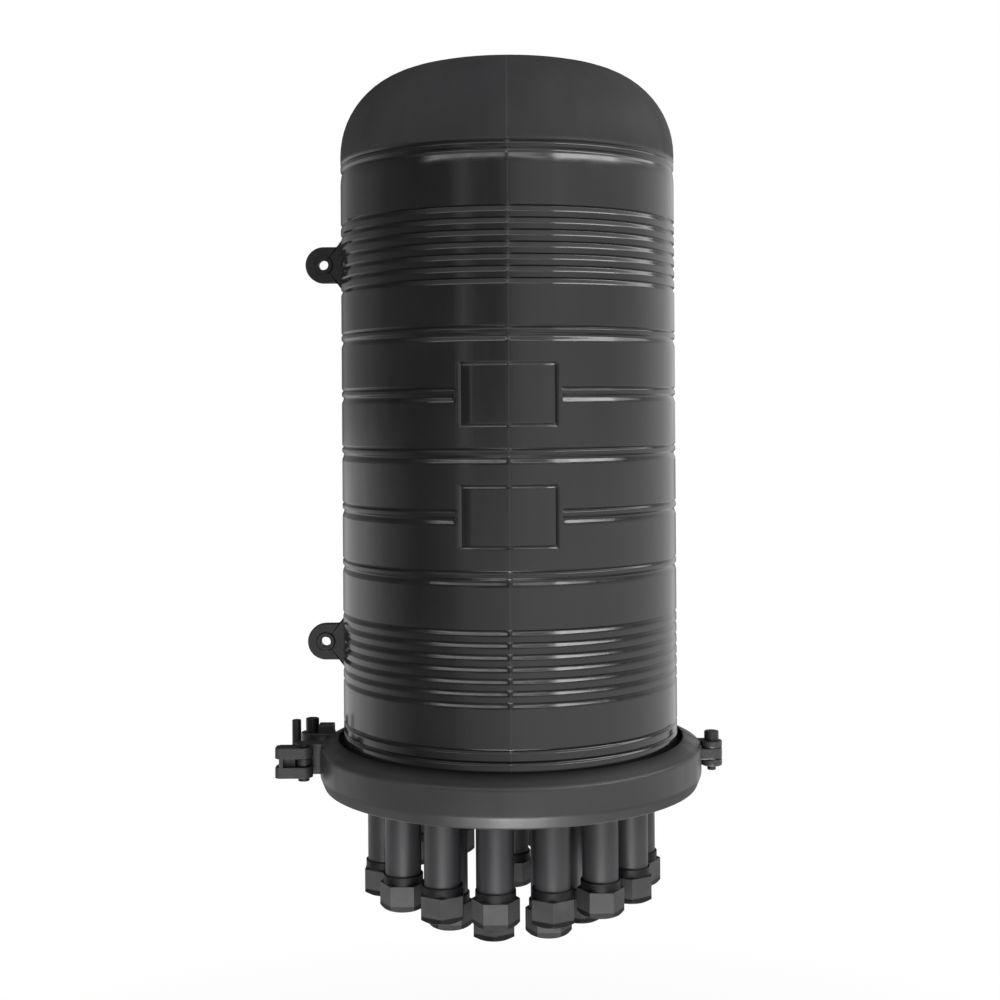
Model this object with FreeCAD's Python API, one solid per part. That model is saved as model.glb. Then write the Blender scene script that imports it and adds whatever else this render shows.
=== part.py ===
import FreeCAD, Part
import math
import os

# A dome closure for fibre cable: a grooved dome, clamped by a two-half hoop to a base that carries
# the cable ports, with a splitter and a stack of splice trays inside. Lengths are in millimetres.
# The dome's axis is Z, the front faces -Y, and the origin is the mouth of the centre port.

# Dome wall and cap
dome_radius = 101.0
dome_wall = 3.0
shoulder_radius = 51.0
crown_rise = 5.5

# Grooves moulded round the dome, from the seat upwards: bands of two and groups of several
groove_width = 2.8
groove_depth = 1.1
band_height = 6.4
group_ribs = 6
group_pitch = 6.6
ridge_rise = 20.75
ridge_to_group = 29.25
group_to_band = 28.8
band_pitch = 33.5
band_to_group = 29.6
group_to_top_band = 32.4
top_band_to_cap = 9.0

# Blank label fields on the front of the dome, each in a grooved frame
label_width = 54.5
lower_label_height = 35.4
upper_label_height = 36.0
label_groove_width = 2.2
label_groove_depth = 0.9
label_band_gap = 1.8

# Hanging lugs on the left of the dome
lug_spacing = 229.0
lug_reach = 11.0
lug_radius = 11.0
lug_thickness = 5.0
lug_fillet = 4.0
lug_hole_radius = 3.0
lug_rim_width = 2.6
lug_rim_proud = 1.0

# Cable ports
port_bore_radius = 7.6
port_tube_wall = 2.8
port_reach = 70.0
inlet_extra_reach = 18.0
drop_ports = 15
drop_first_deg = 161.3
port_rim = 9.0
inlet_ports = 4
inlet_circle_radius = 43.0
inlet_spacing = 32.2
inlet_middle_deg = 8.0

# Compression nuts and sealing plugs
nut_wall = 1.2
nut_height = 15.0
nut_collar = 4.8
nut_collar_inset = 0.3
nut_end_wall = 4.0
nut_chamfer = 2.4
nut_turn_deg = 30.0
plug_length = 14.0
plug_head_radius = 5.8
plug_head_depth = 2.8
port_clearance = 0.2

# Base and the joint between base and dome
base_plate = 6.0
flange_width = 9.0
flange_root = 8.0
flange_rim = 5.5
spigot_height = 10.0
spigot_wall = 4.0
spigot_clearance = 0.4
seal_width = 4.6
seal_depth = 3.0
seal_clearance = 0.2

# Clamp hoop
hoop_height = 30.0
hoop_wall = 5.1
hoop_lip_gap = 3.0
hoop_clearance = 0.3
hoop_split_gap = 0.6
hoop_tuck = 2.5
hoop_tuck_height = 12.0
hoop_shoulder_drop = 10.0
hoop_shoulder_width = 9.5
hoop_crown_slope = 0.4
weld_depth = 3.0

# Hoop hinge on the right
hinge_offset = 7.0
knuckle_radius = 6.4
knuckle_height = 4.0
hinge_height = 15.0
hinge_lift = 0.5
hinge_pin_radius = 2.6
hinge_head_radius = 4.4
hinge_head_height = 5.6
hinge_tail = 3.0
hinge_clearance = 0.2

# Latch on the left: a swing bolt on a rear pin, with a cam lever on its front end
latch_offset = 8.2
latch_height = 18.0
latch_lift = 1.0
bolt_pin_y = 22.0
lever_pin_y = -20.0
bolt_thickness = 4.4
bolt_width = 8.0
bolt_eye_radius = 6.0
latch_slot_height = 5.2
latch_pin_radius = 2.5
pin_running_clearance = 0.08
fork_radius = 7.0
gusset_height = 5.0
bolt_head_radius = 4.2
bolt_head_height = 8.5
pin_rivet_radius = 3.4
pin_rivet_height = 2.2
lug_front_y = -14.0
lug_rear_y = -4.0
front_lug_reach = 6.5
front_lug_chamfer = 3.0
lever_reach = 16.6
lever_web = 5.0
lever_cam_radius = 5.5
lever_notch = 2.5
lever_chamfer = 2.0
peg_radius = 2.75
peg_pad_radius = 4.5
peg_offset = 7.0
peg_y = 1.0
peg_height = 18.6
latch_clearance = 0.3
face_clearance = 0.1

# Upright frame inside
sheet = 2.0
bend_radius = 2.0
frame_half_width = 48.0
frame_front_y = 24.0
frame_foot = 20.0
frame_rise = 346.0
frame_slot_width = 26.0
frame_slot_height = 60.0
frame_slot_rise = 186.0

# Splice trays and their rack
tray_count = 4
tray_width = 140.0
tray_length = 290.0
tray_corner = 36.0
tray_depth = 9.0
tray_pitch = 11.0
tray_floor = 1.5
tray_rim = 2.0
tray_hub_radius = 24.0
tray_hub_wall = 2.0
comb_width = 40.0
comb_length = 46.0
comb_height = 5.0
comb_slots = 4
comb_slot_width = 4.0
tray_barrel_radius = 4.0
tray_barrel_half = 30.0
tray_pin_radius = 1.5
rack_half_width = 36.0
rack_cheek = 4.0
rack_back = 3.0
rack_rise = 22.0
rack_height = 20.0
rack_front_margin = 8.0
tray_to_frame = 3.5
cover_thickness = 1.2
tray_clearance = 0.3

# Splitter, its clip and the basket for spare fibre, on the rear of the frame
splitter_half_width = 34.0
splitter_length = 80.0
splitter_depth = 12.0
splitter_rise = 200.0
splitter_boot_radius = 2.6
splitter_boot_length = 9.0
splitter_boot_offset = 20.0
clip_width = 14.0
clip_sheet = 1.2
clip_foot = 11.0
basket_half_width = 45.0
basket_depth = 40.0
basket_height = 90.0
basket_wall = 2.0
basket_rise = 70.0

# Strength-member clamps on the base
cable_clamp_circle = 62.5
cable_clamp_width = 14.0
cable_clamp_depth = 10.0
cable_clamp_height = 12.0
cable_clamp_groove = 3.0

# Screws
screw_radius = 2.0
screw_head_radius = 3.6
screw_head_height = 2.6
screw_bite = 4.5
screw_clearance = 0.15

# Places that follow from the sizes above
tube_radius = port_bore_radius + port_tube_wall
nut_bore_radius = tube_radius + port_clearance
nut_half_flats = nut_bore_radius + nut_wall
nut_corner_radius = nut_half_flats / math.cos(math.pi / 6)
under_z = port_reach
plate_z = under_z + base_plate
seat_z = under_z + flange_root
inner_radius = dome_radius - dome_wall
flange_radius = dome_radius + flange_width
spigot_radius = inner_radius - spigot_clearance
spigot_inner_radius = spigot_radius - spigot_wall
drop_circle_radius = spigot_inner_radius - port_bore_radius - port_rim
seal_radius = (inner_radius + flange_radius) / 2

group_height = group_ribs * group_pitch
ridge_z = seat_z + ridge_rise
lower_group_z = ridge_z + ridge_to_group
band_a_z = lower_group_z + group_height + group_to_band
label_2_z = band_a_z + band_pitch
band_b_z = label_2_z + band_pitch
label_1_z = band_b_z + band_pitch
band_c_z = label_1_z + band_pitch
upper_group_z = band_c_z + band_to_group
band_d_z = upper_group_z + group_height + group_to_top_band
cap_z = band_d_z + top_band_to_cap
top_z = cap_z + shoulder_radius + crown_rise
lug_x = -(dome_radius + lug_reach)
lower_lug_z = lower_group_z + group_height / 2
upper_lug_z = lower_lug_z + lug_spacing

hoop_radius = flange_radius + hoop_clearance + hoop_wall
hoop_low = seat_z - hoop_height / 2
hoop_high = seat_z + hoop_height / 2
hinge_x = hoop_radius + hinge_offset
hinge_low = seat_z + hinge_lift - hinge_height / 2
hinge_high = hinge_low + hinge_height

latch_x = -(hoop_radius + latch_offset)
latch_z = seat_z + latch_lift
latch_low = latch_z - latch_height / 2
latch_high = latch_z + latch_height / 2
slot_low = latch_z - latch_slot_height / 2
slot_high = latch_z + latch_slot_height / 2
bolt_low = latch_z - bolt_thickness / 2
bolt_high = latch_z + bolt_thickness / 2
lug_outer_x = latch_x - front_lug_reach
peg_x = latch_x - peg_offset

frame_rear_y = frame_front_y + sheet
tray_rear_y = frame_front_y - tray_to_frame
rack_low = plate_z + rack_rise
rack_high = rack_low + rack_height
pin_z = rack_high - tray_barrel_radius
tray_low = rack_high + tray_clearance
tray_ys = [tray_rear_y - tray_depth / 2 - tray_pitch * index for index in range(tray_count)]
rack_front_y = tray_ys[-1] - rack_front_margin
splitter_low = plate_z + splitter_rise
clip_low = splitter_low + (splitter_length - clip_width) / 2
clip_screw_x = splitter_half_width + tray_clearance + clip_sheet + clip_foot / 2
basket_low = plate_z + basket_rise
basket_screw_x = basket_half_width * 2 / 3
basket_screw_z = basket_low + basket_height - 3 * screw_head_radius
rack_screw_x = rack_half_width * 3 / 4
rack_screw_z = rack_low + 2 * screw_head_radius
foot_screw_x = frame_half_width * 3 / 4
foot_screw_y = frame_rear_y + frame_foot * 0.6


def vec(x, y, z):
    return FreeCAD.Vector(x, y, z)


def cylinder(radius, low, high, x=0.0, y=0.0):
    """Upright cylinder between two heights."""
    return Part.makeCylinder(radius, high - low, vec(x, y, low))


def ring(outer, inner, low, high, x=0.0, y=0.0):
    """Upright tube between two heights."""
    return cylinder(outer, low, high, x, y).cut(cylinder(inner, low, high, x, y))


def block(x0, x1, y0, y1, z0, z1):
    """Box between two corners."""
    return Part.makeBox(x1 - x0, y1 - y0, z1 - z0, vec(x0, y0, z0))


def rod_y(radius, y0, y1, x, z):
    """Cylinder along Y."""
    return Part.makeCylinder(radius, y1 - y0, vec(x, y0, z), vec(0, 1, 0))


def rod_x(radius, x0, x1, y, z):
    """Cylinder along X."""
    return Part.makeCylinder(radius, x1 - x0, vec(x0, y, z), vec(1, 0, 0))


def face_of(steps, place):
    """Flat face. A step is a point, or a pair of points: the middle and the end of an arc."""
    first = place(*steps[0])
    here = first
    edges = []
    for step in steps[1:]:
        if isinstance(step[0], tuple):
            middle = place(*step[0])
            end = place(*step[1])
            edges.append(Part.Arc(here, middle, end).toShape())
        else:
            end = place(*step)
            edges.append(Part.makeLine(here, end))
        here = end
    if not here.isEqual(first, 1e-6):
        edges.append(Part.makeLine(here, first))
    return Part.Face(Part.Wire(edges))


def turned(steps, start_deg=0.0, sweep_deg=360.0):
    """Solid of revolution about Z from a profile of radius and height."""
    face = face_of(steps, lambda radius, height: vec(radius, 0, height))
    face.rotate(vec(0, 0, 0), vec(0, 0, 1), start_deg)
    return face.revolve(vec(0, 0, 0), vec(0, 0, 1), sweep_deg)


def plan_solid(steps, low, high):
    """Solid between two heights from an outline in plan."""
    face = face_of(steps, lambda x, y: vec(x, y, low))
    return face.extrude(vec(0, 0, high - low))


def fused(shapes):
    """One solid from overlapping solids."""
    return shapes[0].multiFuse(shapes[1:]).removeSplitter()


def on_circle(radius, degrees):
    """Point in plan at an angle from the front, positive to the right."""
    angle = math.radians(degrees)
    return radius * math.sin(angle), -radius * math.cos(angle)


def polar(centre, radius, degrees):
    """Point on a circle in a profile."""
    angle = math.radians(degrees)
    return centre[0] + radius * math.cos(angle), centre[1] + radius * math.sin(angle)


# Port places: drop ports all round, inlet ports in an arc at the front, one port on the axis
drop_places = [
    on_circle(drop_circle_radius, drop_first_deg + index * 360.0 / drop_ports)
    for index in range(drop_ports)
]
inlet_pitch_deg = math.degrees(2 * math.asin(inlet_spacing / 2 / inlet_circle_radius))
inlet_degs = [
    inlet_middle_deg + (index - (inlet_ports - 1) / 2) * inlet_pitch_deg
    for index in range(inlet_ports)
]
inlet_places = [on_circle(inlet_circle_radius, degrees) for degrees in inlet_degs]
cable_clamp_places = [on_circle(cable_clamp_circle, degrees) for degrees in inlet_degs]
foot_screw_places = [(-foot_screw_x, foot_screw_y), (foot_screw_x, foot_screw_y)]


def groove(middle):
    """Profile of one groove, from its lower lip to its upper lip."""
    return [
        (dome_radius, middle - groove_width / 2),
        (dome_radius - groove_depth, middle),
        (dome_radius, middle + groove_width / 2),
    ]


def band(middle):
    """Profile of two grooves with a flush strip between them."""
    return groove(middle - band_height / 2) + groove(middle + band_height / 2)


def groove_group(low):
    """Profile of a group of grooves with flush ribs between them."""
    points = []
    for index in range(group_ribs + 1):
        points += groove(low + index * group_pitch)
    return points


def cap_profile():
    """Outer and inner profile of the cap: a shoulder arc that runs into a shallow crown."""
    reach = dome_radius - shoulder_radius
    height = shoulder_radius + crown_rise
    crown_radius = (reach ** 2 + height ** 2 - shoulder_radius ** 2) / (2 * crown_rise)
    shoulder = (reach, cap_z)
    crown = (0.0, top_z - crown_radius)
    meet_deg = math.degrees(math.atan2(shoulder[1] - crown[1], reach))
    crown_middle_deg = (meet_deg + 90.0) / 2
    outer = [
        (dome_radius, cap_z),
        (polar(shoulder, shoulder_radius, meet_deg / 2), polar(shoulder, shoulder_radius, meet_deg)),
        (polar(crown, crown_radius, crown_middle_deg), (0.0, top_z)),
    ]
    inner_shoulder = shoulder_radius - dome_wall
    inner_crown = crown_radius - dome_wall
    inner = [
        (0.0, top_z - dome_wall),
        (polar(crown, inner_crown, crown_middle_deg), polar(shoulder, inner_shoulder, meet_deg)),
        (polar(shoulder, inner_shoulder, meet_deg / 2), (inner_radius, cap_z)),
    ]
    return outer, inner


def label_frame(middle, height):
    """Cutter for the groove round a blank label field on the front of the dome."""
    half = label_width / 2
    low = middle - height / 2
    high = middle + height / 2
    edge = label_groove_width
    frame = block(-half, half, -2 * dome_radius, 0, low, high)
    field = block(edge - half, half - edge, -2 * dome_radius, 0, low + edge, high - edge)
    shell = ring(dome_radius + dome_wall, dome_radius - label_groove_depth, low, high)
    return shell.common(frame.cut(field))


def label_band(middle):
    """Cutters for the two grooves of a band that stops short of the label frame."""
    gap_deg = math.degrees(math.asin((label_width / 2 + label_band_gap) / dome_radius))
    outside = dome_radius + dome_wall
    cutters = []
    for height in (middle - band_height / 2, middle + band_height / 2):
        lips = [(outside, height + groove_width / 2), (outside, height - groove_width / 2)]
        cutters.append(turned(groove(height) + lips, gap_deg - 90, 360 - 2 * gap_deg))
    return cutters


def hanging_lug(height):
    """Flat ear with a hole, a raised rim and a filleted root."""
    half = lug_thickness / 2
    rim = half + lug_rim_proud
    root_x = -(inner_radius + dome_wall / 2)
    foot_x = -(dome_radius + lug_fillet)
    low = height - lug_radius
    high = height + lug_radius
    outline = [
        (root_x, low - lug_fillet),
        (-dome_radius, low - lug_fillet),
        (polar((foot_x, low - lug_fillet), lug_fillet, 45), (foot_x, low)),
        (lug_x, low),
        ((lug_x - lug_radius, height), (lug_x, high)),
        (foot_x, high),
        (polar((foot_x, high + lug_fillet), lug_fillet, -45), (-dome_radius, high + lug_fillet)),
        (root_x, high + lug_fillet),
    ]
    plate = face_of(outline, lambda x, z: vec(x, -half, z)).extrude(vec(0, lug_thickness, 0))
    ear = plate.fuse(rod_y(lug_hole_radius + lug_rim_width, -rim, rim, lug_x, height))
    return ear.cut(rod_y(lug_hole_radius, -rim, rim, lug_x, height))


def dome_cover():
    outer, inner = cap_profile()
    steps = [
        (inner_radius, seat_z),
        (flange_radius, seat_z),
        (flange_radius, seat_z + flange_rim),
        (dome_radius, seat_z + flange_root),
    ]
    steps += band(ridge_z)
    steps += groove_group(lower_group_z)
    steps += band(band_a_z)
    steps += band(band_b_z)
    steps += band(band_c_z)
    steps += groove_group(upper_group_z)
    steps += band(band_d_z)
    dome = turned(steps + outer + inner)
    cutters = label_band(label_1_z) + label_band(label_2_z)
    cutters.append(label_frame(label_1_z, upper_label_height))
    cutters.append(label_frame(label_2_z, lower_label_height))
    dome = dome.cut(Part.makeCompound(cutters))
    return dome.multiFuse([hanging_lug(lower_lug_z), hanging_lug(upper_lug_z)])


def flange_drop(radius):
    """Distance from the seat to the sloping flange face at a radius."""
    return flange_root - (flange_root - flange_rim) * (radius - dome_radius) / flange_width


def hoop_half(side):
    """Half of the hoop, rear (1) or front (-1): its sloping flanks draw the two flanges together."""
    lip = dome_radius + hoop_lip_gap
    groove = flange_radius + hoop_clearance
    at_lip = flange_drop(lip) + hoop_clearance
    at_groove = flange_drop(groove) + hoop_clearance
    shoulder_z = hoop_high - hoop_shoulder_drop
    shoulder_r = hoop_radius - hoop_shoulder_width
    bulge = math.sqrt(0.5)
    shoulder_middle = (
        shoulder_r + hoop_shoulder_width * bulge,
        shoulder_z + (hoop_shoulder_drop - hoop_crown_slope) * bulge,
    )
    tuck_radius = (hoop_tuck_height ** 2 + hoop_tuck ** 2) / (2 * hoop_tuck)
    tuck_centre = (hoop_radius - tuck_radius, hoop_low + hoop_tuck_height)
    tuck_deg = math.degrees(math.asin(hoop_tuck_height / tuck_radius))
    steps = [
        (lip, hoop_low),
        (hoop_radius - hoop_tuck, hoop_low),
        (polar(tuck_centre, tuck_radius, -tuck_deg / 2), (hoop_radius, hoop_low + hoop_tuck_height)),
        (hoop_radius, shoulder_z),
        (shoulder_middle, (shoulder_r, hoop_high - hoop_crown_slope)),
        (lip, hoop_high),
        (lip, seat_z + at_lip),
        (groove, seat_z + at_groove),
        (groove, seat_z - at_groove),
        (lip, seat_z - at_lip),
    ]
    near = side * hoop_split_gap / 2
    far = side * 2 * hoop_radius
    wide = 2 * hoop_radius
    return turned(steps).common(
        block(-wide, wide, min(near, far), max(near, far), hoop_low, hoop_high)
    )


def knuckle(side, low, high):
    """Hinge knuckle with its web, on the rear side (1) or the front side (-1) of the split."""
    near = side * hoop_split_gap / 2
    far = side * knuckle_radius
    web = block(
        hoop_radius - weld_depth, hinge_x, min(near, far), max(near, far), low, high
    )
    barrel = cylinder(knuckle_radius, low, high, hinge_x)
    return web.fuse(barrel).cut(
        cylinder(hinge_pin_radius + hinge_clearance, low, high, hinge_x)
    )


def clamp_half_front():
    hoop = hoop_half(-1)
    middle = knuckle(
        -1, hinge_low + knuckle_height + hinge_clearance, hinge_high - knuckle_height - hinge_clearance
    )
    return fused([hoop, middle])


def latch_keeper():
    """Slotted lug on the outside of the front half, in which the swing bolt lies when it is shut."""
    root_x = -(hoop_radius - weld_depth)
    lug = plan_solid(
        [
            (root_x, lug_rear_y),
            (lug_outer_x, lug_rear_y),
            (lug_outer_x, lug_front_y + front_lug_chamfer),
            (lug_outer_x + front_lug_chamfer, lug_front_y),
            (root_x, lug_front_y),
        ],
        latch_low,
        latch_high,
    )
    slot_end = latch_x + bolt_width / 2 + latch_clearance
    slot = block(lug_outer_x, slot_end, lug_front_y, lug_rear_y, slot_low, slot_high)
    return lug.cut(slot).cut(hoop_half(-1))


def clamp_half_rear():
    hoop = hoop_half(1)
    lower = knuckle(1, hinge_low, hinge_low + knuckle_height)
    upper = knuckle(1, hinge_high - knuckle_height, hinge_high)
    root_x = latch_x + latch_offset + weld_depth
    prongs = []
    for low, high in [(latch_low, slot_low), (slot_high, latch_high)]:
        prongs.append(cylinder(fork_radius, low, high, latch_x, bolt_pin_y))
        prongs.append(
            block(latch_x, root_x, bolt_pin_y - fork_radius, bolt_pin_y + fork_radius, low, high)
        )
    gusset = block(
        latch_x + bolt_head_radius,
        root_x,
        bolt_pin_y - bolt_head_radius,
        bolt_pin_y + bolt_head_radius,
        slot_high,
        latch_high + gusset_height,
    )
    half = fused([hoop, lower, upper, gusset] + prongs)
    bore = latch_pin_radius + pin_running_clearance
    return half.cut(cylinder(bore, latch_low, latch_high, latch_x, bolt_pin_y))


def clamp_hinge_pin():
    return fused([
        cylinder(hinge_pin_radius, hinge_low - hinge_tail, hinge_high, hinge_x),
        cylinder(hinge_head_radius, hinge_high, hinge_high + hinge_head_height, hinge_x),
    ])


def latch_bolt_pin():
    head_radius = bolt_head_radius - face_clearance
    head_high = latch_high + bolt_head_height
    return fused([
        cylinder(latch_pin_radius, latch_low, latch_high, latch_x, bolt_pin_y),
        cylinder(head_radius, latch_high, head_high, latch_x, bolt_pin_y),
        cylinder(pin_rivet_radius, latch_low - pin_rivet_height, latch_low, latch_x, bolt_pin_y),
    ])


def latch_swing_bolt():
    half = bolt_width / 2
    bore = latch_pin_radius + pin_running_clearance
    bolt = fused([
        cylinder(bolt_eye_radius, bolt_low, bolt_high, latch_x, bolt_pin_y),
        block(latch_x - half, latch_x + half, lever_pin_y, bolt_pin_y, bolt_low, bolt_high),
        cylinder(half, bolt_low, bolt_high, latch_x, lever_pin_y),
        cylinder(peg_pad_radius, bolt_low, bolt_high, peg_x, peg_y),
        block(peg_x, latch_x, peg_y - peg_pad_radius, peg_y + peg_pad_radius, bolt_low, bolt_high),
        cylinder(peg_radius, bolt_low, bolt_high + peg_height, peg_x, peg_y),
    ])
    for y in (bolt_pin_y, lever_pin_y):
        bolt = bolt.cut(cylinder(bore, bolt_low, bolt_high, latch_x, y))
    return bolt


def latch_cam_lever():
    tip = latch_x - lever_reach
    near = lever_pin_y + lever_cam_radius
    far = lever_pin_y - lever_cam_radius
    lever = plan_solid(
        [
            (latch_x, near),
            (tip + lever_chamfer, near),
            (tip, near - lever_chamfer),
            (tip, far + lever_chamfer),
            (tip + lever_chamfer, far),
            (latch_x, far),
            ((latch_x + lever_cam_radius, lever_pin_y), (latch_x, near)),
        ],
        latch_low,
        latch_high,
    )
    slot = block(tip + lever_web, latch_x + lever_reach, far, near, slot_low, slot_high)
    notch = block(tip, tip + lever_notch, far, near, slot_low, slot_high)
    bore = latch_pin_radius + pin_running_clearance
    return lever.cut(slot).cut(notch).cut(
        cylinder(bore, latch_low, latch_high, latch_x, lever_pin_y)
    )


def latch_lever_pin():
    low = latch_low - face_clearance
    high = latch_high + face_clearance
    return fused([
        cylinder(latch_pin_radius, low, high, latch_x, lever_pin_y),
        cylinder(pin_rivet_radius, low - pin_rivet_height, low, latch_x, lever_pin_y),
        cylinder(pin_rivet_radius, high, high + pin_rivet_height / 2, latch_x, lever_pin_y),
    ])


def base_body():
    half_groove = seal_width / 2 + seal_clearance
    base = turned([
        (0.0, under_z),
        (dome_radius, under_z),
        (flange_radius, seat_z - flange_rim),
        (flange_radius, seat_z),
        (seal_radius + half_groove, seat_z),
        (seal_radius + half_groove, seat_z - seal_depth),
        (seal_radius - half_groove, seat_z - seal_depth),
        (seal_radius - half_groove, seat_z),
        (spigot_radius, seat_z),
        (spigot_radius, seat_z + spigot_height),
        (spigot_inner_radius, seat_z + spigot_height),
        (spigot_inner_radius, plate_z),
        (0.0, plate_z),
    ])
    short = nut_end_wall
    long = nut_end_wall - inlet_extra_reach
    ports = [(x, y, short) for x, y in drop_places + [(0.0, 0.0)]]
    ports += [(x, y, long) for x, y in inlet_places]
    base = base.multiFuse([cylinder(tube_radius, low, plate_z, x, y) for x, y, low in ports])
    base = base.cut(Part.makeCompound(
        [cylinder(port_bore_radius, low, plate_z, x, y) for x, y, low in ports]
    ))
    pilot = screw_radius + screw_clearance
    screw_places = foot_screw_places + cable_clamp_places
    base = base.cut(Part.makeCompound(
        [cylinder(pilot, plate_z - screw_bite, plate_z, x, y) for x, y in screw_places]
    ))
    return base.removeSplitter()


def base_seal_ring():
    half = seal_width / 2
    return ring(seal_radius + half, seal_radius - half, seat_z - seal_depth, seat_z)


def port_nut(x, y, low, hole_radius, turn_deg):
    """Hex compression nut with a coned lower edge and a round collar on top."""
    top = low + nut_height + nut_collar
    corners = [polar((x, y), nut_corner_radius, turn_deg + 60 * side) for side in range(6)]
    hexagon = plan_solid(corners, low, low + nut_height)
    cone = turned([
        (0.0, low),
        (nut_half_flats - nut_chamfer / 2, low),
        (nut_corner_radius + nut_chamfer / 2, low + nut_chamfer),
        (nut_corner_radius + nut_chamfer / 2, low + nut_height),
        (0.0, low + nut_height),
    ])
    cone.translate(vec(x, y, 0))
    collar = cylinder(nut_half_flats - nut_collar_inset, low + nut_height / 2, top, x, y)
    hollow = cylinder(nut_bore_radius, low + nut_end_wall, top, x, y)
    hole = cylinder(hole_radius, low, low + nut_end_wall, x, y)
    return hexagon.common(cone).fuse(collar).cut(hollow).cut(hole)


def port_plug(x, y, low):
    """Rubber plug in a port tube, with its head in the nut's hole."""
    body_low = low + nut_end_wall
    plug = turned([
        (0.0, body_low - plug_head_depth),
        (plug_head_radius, body_low - plug_head_depth),
        (plug_head_radius, body_low),
        (port_bore_radius - port_clearance, body_low),
        (port_bore_radius - port_clearance, body_low + plug_length),
        (0.0, body_low + plug_length),
    ])
    plug.translate(vec(x, y, 0))
    return plug


def nuts(places, low):
    """Nuts of a set of ports, each turned a little differently."""
    hole = plug_head_radius + port_clearance
    return Part.makeCompound(
        [port_nut(x, y, low, hole, nut_turn_deg * index) for index, (x, y) in enumerate(places)]
    )


def plugs(places, low):
    return Part.makeCompound([port_plug(x, y, low) for x, y in places])


def tray_frame():
    outer_bend = bend_radius + sheet
    foot_end = frame_rear_y + frame_foot
    top = plate_z + frame_rise
    outer_mid = polar((frame_front_y + outer_bend, plate_z + outer_bend), outer_bend, 225)
    inner_mid = polar((frame_front_y + outer_bend, plate_z + outer_bend), bend_radius, 225)
    steps = [
        (frame_front_y, top),
        (frame_front_y, plate_z + outer_bend),
        (outer_mid, (frame_front_y + outer_bend, plate_z)),
        (foot_end, plate_z),
        (foot_end, plate_z + sheet),
        (frame_front_y + outer_bend, plate_z + sheet),
        (inner_mid, (frame_rear_y, plate_z + outer_bend)),
        (frame_rear_y, top),
    ]
    face = face_of(steps, lambda y, z: vec(-frame_half_width, y, z))
    frame = face.extrude(vec(2 * frame_half_width, 0, 0))
    slot_half = frame_slot_width / 2
    low = plate_z + frame_slot_rise
    high = low + frame_slot_height
    slot = fused([
        block(-slot_half, slot_half, frame_front_y, frame_rear_y, low, high),
        rod_y(slot_half, frame_front_y, frame_rear_y, 0.0, low),
        rod_y(slot_half, frame_front_y, frame_rear_y, 0.0, high),
    ])
    hole = screw_radius + screw_clearance
    holes = [cylinder(hole, plate_z, plate_z + sheet, x, y) for x, y in foot_screw_places]
    for x, z in rear_screw_places():
        holes.append(rod_y(hole, frame_front_y, frame_rear_y, x, z))
    return frame.cut(Part.makeCompound([slot] + holes))


def rear_screw_places():
    """Screws through the upright: rack, clip and basket, left and right of each."""
    places = []
    for x, z in [
        (rack_screw_x, rack_screw_z),
        (clip_screw_x, clip_low + clip_width / 2),
        (basket_screw_x, basket_screw_z),
    ]:
        places += [(-x, z), (x, z)]
    return places


def upright_screw(x, y, seat, low):
    """Screw with its head on a level seat."""
    return fused([
        cylinder(screw_radius, low, seat, x, y),
        cylinder(screw_head_radius, seat, seat + screw_head_height, x, y),
    ])


def level_screw(x, z, seat_y, end_y):
    """Screw along Y with its head behind an upright seat."""
    return fused([
        rod_y(screw_radius, end_y, seat_y, x, z),
        rod_y(screw_head_radius, seat_y, seat_y + screw_head_height, x, z),
    ])


def frame_screws():
    low = plate_z - screw_bite
    return Part.makeCompound(
        [upright_screw(x, y, plate_z + sheet, low + screw_clearance) for x, y in foot_screw_places]
    )


def screw_pair(x, z, seat_y, end_y):
    return Part.makeCompound([level_screw(side * x, z, seat_y, end_y) for side in (-1, 1)])


def tray_rack():
    half = rack_half_width
    cheek_y = frame_front_y - rack_back
    rack = fused([
        block(-half, half, cheek_y, frame_front_y, rack_low, rack_high),
        block(-half, rack_cheek - half, rack_front_y, frame_front_y, rack_low, rack_high),
        block(half - rack_cheek, half, rack_front_y, frame_front_y, rack_low, rack_high),
    ])
    cuts = [rod_x(tray_pin_radius + face_clearance, -half, half, y, pin_z) for y in tray_ys]
    pilot = screw_radius + screw_clearance
    for side in (-1, 1):
        cuts.append(rod_y(pilot, cheek_y, frame_front_y, side * rack_screw_x, rack_screw_z))
    return rack.cut(Part.makeCompound(cuts))


def tray_plan(inset):
    """Outline of a tray seen from the front, with round corners."""
    half = tray_width / 2 - inset
    low = tray_low + inset
    high = tray_low + tray_length - inset
    corner = tray_corner - inset
    top_left = (corner - half, high - corner)
    top_right = (half - corner, high - corner)
    low_left = (corner - half, low + corner)
    low_right = (half - corner, low + corner)
    return [
        (low_left[0], low),
        (low_right[0], low),
        (polar(low_right, corner, -45), (half, low_right[1])),
        (half, top_right[1]),
        (polar(top_right, corner, 45), (top_right[0], high)),
        (top_left[0], high),
        (polar(top_left, corner, 135), (-half, top_left[1])),
        (-half, low_left[1]),
        (polar(low_left, corner, 225), (low_left[0], low)),
    ]


def tray_slab(inset, y0, y1):
    """Slab with the tray's outline between two depths."""
    face = face_of(tray_plan(inset), lambda x, z: vec(x, y0, z))
    return face.extrude(vec(0, y1 - y0, 0))


def splice_comb(floor, middle_z):
    """Block with grooves for splice sleeves, standing on a tray's floor."""
    half = comb_width / 2
    low = middle_z - comb_length / 2
    high = middle_z + comb_length / 2
    comb = block(-half, half, floor - comb_height, floor, low, high)
    pitch = comb_width / comb_slots
    for index in range(comb_slots):
        left = (index + 0.5) * pitch - half - comb_slot_width / 2
        right = left + comb_slot_width
        comb = comb.cut(block(left, right, floor - comb_height, floor - tray_floor, low, high))
    return comb


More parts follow.
